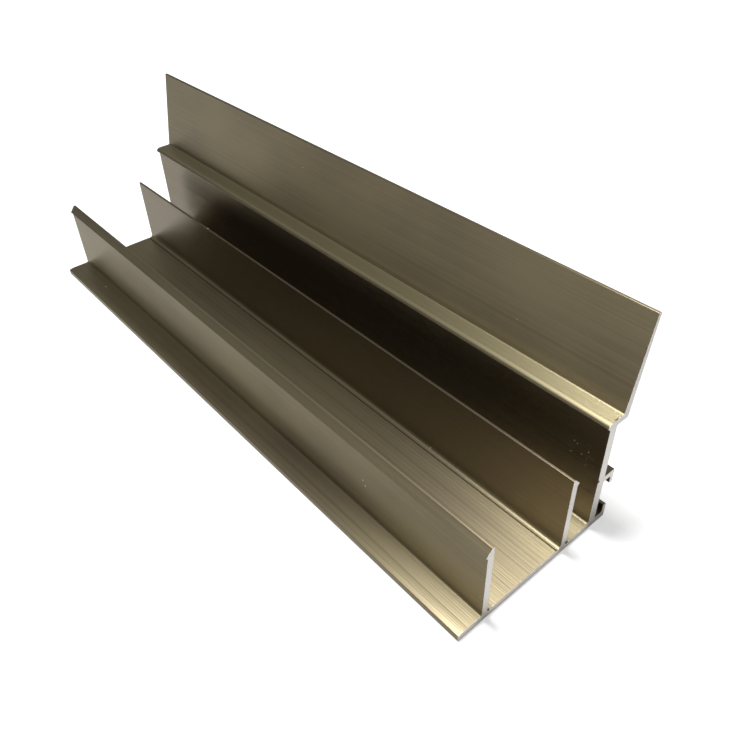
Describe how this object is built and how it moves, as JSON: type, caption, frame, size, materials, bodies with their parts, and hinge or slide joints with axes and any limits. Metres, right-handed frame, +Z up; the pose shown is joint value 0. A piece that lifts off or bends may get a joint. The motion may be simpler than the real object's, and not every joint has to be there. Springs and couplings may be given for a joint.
{
  "type": "aluminium extrusion profile",
  "caption": "Saw-cut length of champagne-anodised aluminium extrusion: flat base, barbed snap fins, a tall web with a ledge and leaning flange, and a hooked slot along its back.",
  "frame": {"origin": "centre of the bounding box's footprint, on the base's underside", "axes": "+Y along the extrusion, +X across the section from the toe to the hooked slot, +Z up along the fins and the web"},
  "size_m": [0.0486, 0.178, 0.0537],
  "materials": {
    "anodised_aluminium": "satin champagne anodising with fine lines along the length, and raw grey saw-cut ends"
  },
  "bodies": {
    "root": {"profile": "anodised_aluminium"}
  },
  "joints": []
}
